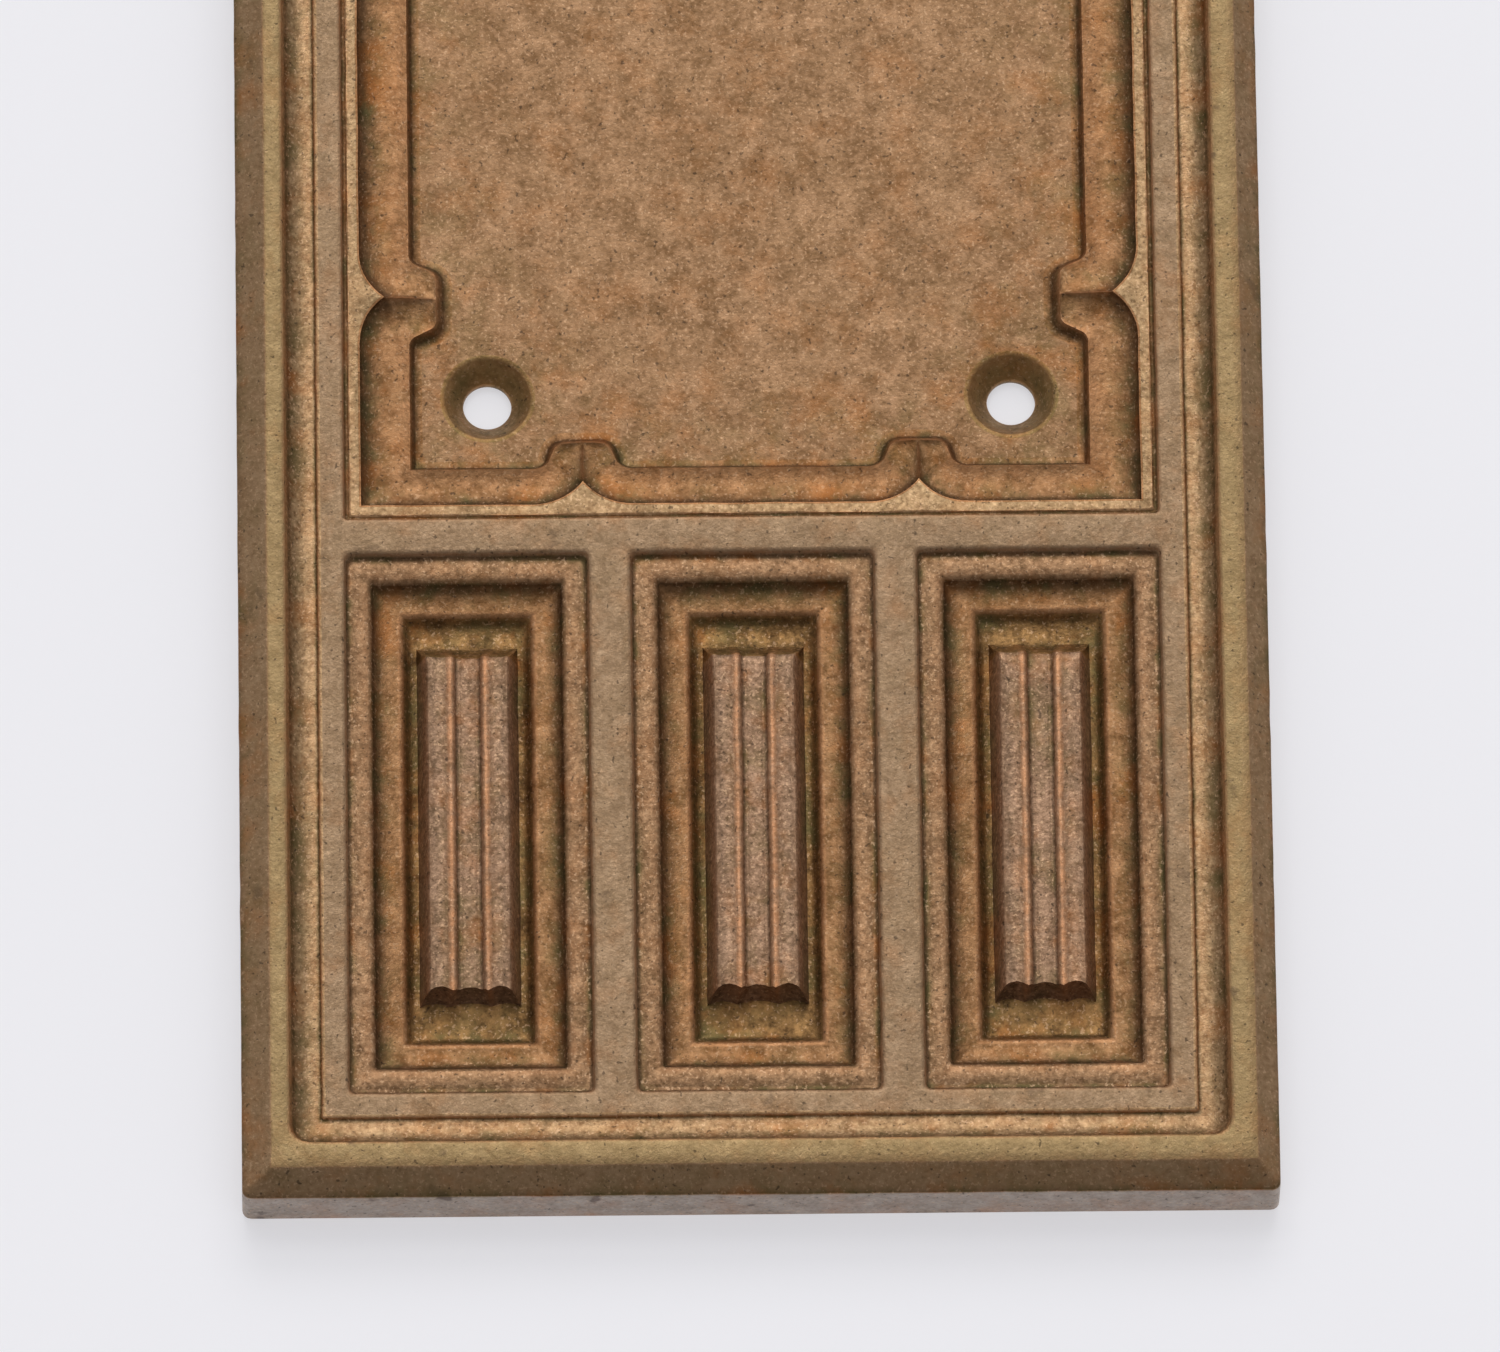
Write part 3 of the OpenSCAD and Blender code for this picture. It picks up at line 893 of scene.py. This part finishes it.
def backdrop_material(name, tone, one_sided, painted_fill_glow=0.0):
    """A matt pale surface with a barely visible mottle, clear from behind if one_sided; it glows
    evenly as painted fill light, which lightens shadows cast on it.
    """
    n = Nodes(name)
    place = n.coordinates()
    pale = n.mix(n.noise(place, 60.0, 3.0), tuple(c * 0.985 for c in tone), tone)
    n.link(pale, n.shader.inputs["Base Color"])
    n.shader.inputs["Roughness"].default_value = 0.9
    n.shader.inputs["Specular IOR Level"].default_value = 0.1
    # The emission is painted fill light that brightens the surface itself.
    n.shader.inputs["Emission Color"].default_value = (*tone, 1)
    n.shader.inputs["Emission Strength"].default_value = painted_fill_glow
    if one_sided:
        output = n.tree.nodes["Material Output"]
        mix = n.add("ShaderNodeMixShader")
        n.link(n.add("ShaderNodeNewGeometry").outputs["Backfacing"], mix.inputs[0])
        n.link(n.shader.outputs[0], mix.inputs[1])
        n.link(n.add("ShaderNodeBsdfTransparent").outputs[0], mix.inputs[2])
        n.link(mix.outputs[0], output.inputs["Surface"])
    return n.material


def plate_materials():
    """Each finish: its dark, middle and light tones, then how its patina, its painted highlight
    (copper) and its painted shade (grime) differ.
    """
    return {
        "border": bronze(
            "bronze_border",
            srgb(130, 105, 70),
            srgb(152, 127, 88),
            srgb(182, 154, 112),
            mottle=0.15,
            green=0.1,
            speckle=0.3,
            marks=0.5,
        ),
        "hollow": bronze(
            "bronze_hollow",
            srgb(116, 90, 60),
            srgb(158, 128, 92),
            srgb(204, 170, 128),
            mottle=0.3,
            green=0.1,
            speckle=0.8,
        ),
        "band": bronze(
            "bronze_band",
            srgb(120, 94, 68),
            srgb(146, 119, 90),
            srgb(184, 154, 124),
            mottle=0.2,
            green=0.1,
            speckle=0.4,
            marks=0.3,
        ),
        "panel": bronze(
            "bronze_panel",
            srgb(118, 86, 56),
            srgb(140, 106, 73),
            srgb(174, 136, 102),
            mottle=0.5,
            green=0.05,
            speckle=0.6,
        ),
        "recess": bronze(
            "bronze_recess",
            srgb(92, 62, 32),
            srgb(140, 100, 62),
            srgb(182, 138, 98),
            mottle=0.5,
            copper=0.8,
            green=0.1,
            grime_and_shade=1.0,
        ),
        "bar": bronze(
            "bronze_bar",
            srgb(104, 79, 57),
            srgb(138, 109, 85),
            srgb(190, 153, 124),
            mottle=0.3,
            green=0.1,
            speckle=0.8,
        ),
        "bead": bronze(
            "bronze_bead",
            srgb(102, 74, 48),
            srgb(138, 106, 76),
            srgb(186, 147, 110),
            mottle=0.35,
            green=0.1,
            speckle=0.8,
        ),
        "floor": bronze(
            "bronze_floor",
            srgb(80, 58, 32),
            srgb(122, 92, 54),
            srgb(160, 122, 76),
            mottle=0.8,
            copper=0.7,
            green=0.4,
            grime_and_shade=0.9,
            speckle=0.6,
        ),
        "sink": bronze(
            "bronze_sink",
            srgb(98, 76, 42),
            srgb(140, 110, 66),
            srgb(170, 138, 92),
            mottle=0.5,
            green=0.4,
        ),
        "bevel": bronze(
            "bronze_bevel",
            srgb(114, 86, 58),
            srgb(148, 118, 86),
            srgb(172, 142, 110),
            mottle=0.2,
            green=0.1,
            marks=0.3,
        ),
        "edge": bronze(
            "bronze_edge",
            srgb(126, 112, 101),
            srgb(156, 143, 132),
            srgb(182, 170, 160),
            mottle=0.25,
            green=0.05,
            marks=0.7,
        ),
    }


# ---------------------------------------------------------------- stage, lights and camera
def plane(name, centre, across, up, half_w, half_h, material):
    mesh = bpy.data.meshes.new(name)
    corners = [(-1, -1), (1, -1), (1, 1), (-1, 1)]
    mesh.from_pydata(
        [centre + across * (half_w * i) + up * (half_h * j) for i, j in corners], [], [(0, 1, 2, 3)]
    )
    mesh.materials.append(material)
    sheet = bpy.data.objects.new(name, mesh)
    bpy.context.collection.objects.link(sheet)
    return sheet


def make_stage():
    pale = srgb(236, 235, 238)
    # The wall's paint is halved and it glows as painted fill light, which keeps it pale and
    # lightens the plate's shadow on it.
    wall = plane(
        "wall",
        Vector((0, 0.00005, 0.3)),
        Vector((1, 0, 0)),
        Vector((0, 0, 1)),
        2.2,
        1.6,
        backdrop_material("wall_paint", tuple(c * 0.5 for c in pale), True, 1.17),
    )
    wall.visible_diffuse = False
    wall.visible_transmission = False
    wall.visible_shadow = False
    floor = plane(
        "floor",
        Vector((0, -1.5, -1.3)),
        Vector((1, 0, 0)),
        Vector((0, 1, 0)),
        4.0,
        4.0,
        backdrop_material("floor_paint", pale, False),
    )
    floor.visible_glossy = False


def area_light(name, place, target, size, power):
    data = bpy.data.lights.new(name, "AREA")
    data.shape = "RECTANGLE"
    data.size, data.size_y = size
    data.energy = power
    lamp = bpy.data.objects.new(name, data)
    lamp.location = place
    lamp.rotation_euler = (Vector(target) - Vector(place)).to_track_quat("-Z", "Y").to_euler()
    lamp.visible_camera = False
    bpy.context.collection.objects.link(lamp)


def make_lights():
    world = bpy.data.worlds.new("studio")
    world.use_nodes = True
    tree = world.node_tree
    direction = tree.nodes.new("ShaderNodeTexCoord").outputs["Generated"]
    split = tree.nodes.new("ShaderNodeSeparateXYZ")
    tree.links.new(direction, split.inputs[0])
    rise = tree.nodes.new("ShaderNodeMapRange")
    for key, number in (("From Min", -0.5), ("From Max", 0.5), ("To Min", 0.24), ("To Max", 0.66)):
        rise.inputs[key].default_value = number
    tree.links.new(split.outputs["Z"], rise.inputs["Value"])
    sky = tree.nodes["Background"]
    sky.inputs["Color"].default_value = (0.95, 0.97, 1.0, 1)
    tree.links.new(rise.outputs["Result"], sky.inputs["Strength"])
    bpy.context.scene.world = world
    area_light("window", (0.1, -1.4, 1.45), (0, 0, -0.1), (1.5, 0.9), 12.5)
    area_light("front", (-0.2, -2.2, 0.8), (0, 0, -0.1), (1.2, 0.6), 6.0)
    area_light("rear", (0.8, 1.8, 0.8), (0, 0, 0), (1.4, 1.4), 20)


def make_camera():
    back = Vector(
        (
            sin(CAMERA_YAW) * cos(CAMERA_PITCH),
            -cos(CAMERA_YAW) * cos(CAMERA_PITCH),
            -sin(CAMERA_PITCH),
        )
    )
    level_right = Vector((0, 0, 1)).cross(back).normalized()
    level_up = back.cross(level_right)
    right = level_right * cos(CAMERA_ROLL) - level_up * sin(CAMERA_ROLL)
    up = level_right * sin(CAMERA_ROLL) + level_up * cos(CAMERA_ROLL)
    data = bpy.data.cameras.new("camera")
    data.lens = CAMERA_LENS
    data.sensor_width = 36
    data.clip_start = 0.05
    data.clip_end = 20
    camera = bpy.data.objects.new("camera", data)
    turn = Matrix((right, up, back)).transposed().to_4x4()
    camera.matrix_world = Matrix.Translation(AIM + back * CAMERA_DISTANCE) @ turn
    bpy.context.collection.objects.link(camera)
    bpy.context.scene.camera = camera


def main():
    make_camera()
    make_stage()
    make_lights()
    plate = make_plate(plate_materials())
    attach(plate, "root")
    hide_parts("push_plate")
    metal = brass()
    for name in ("upper_left_screw", "upper_right_screw"):
        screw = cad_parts[name]
        screw.data.materials.clear()
        screw.data.materials.append(metal)
    bpy.context.scene.view_settings.view_transform = "Standard"


main()
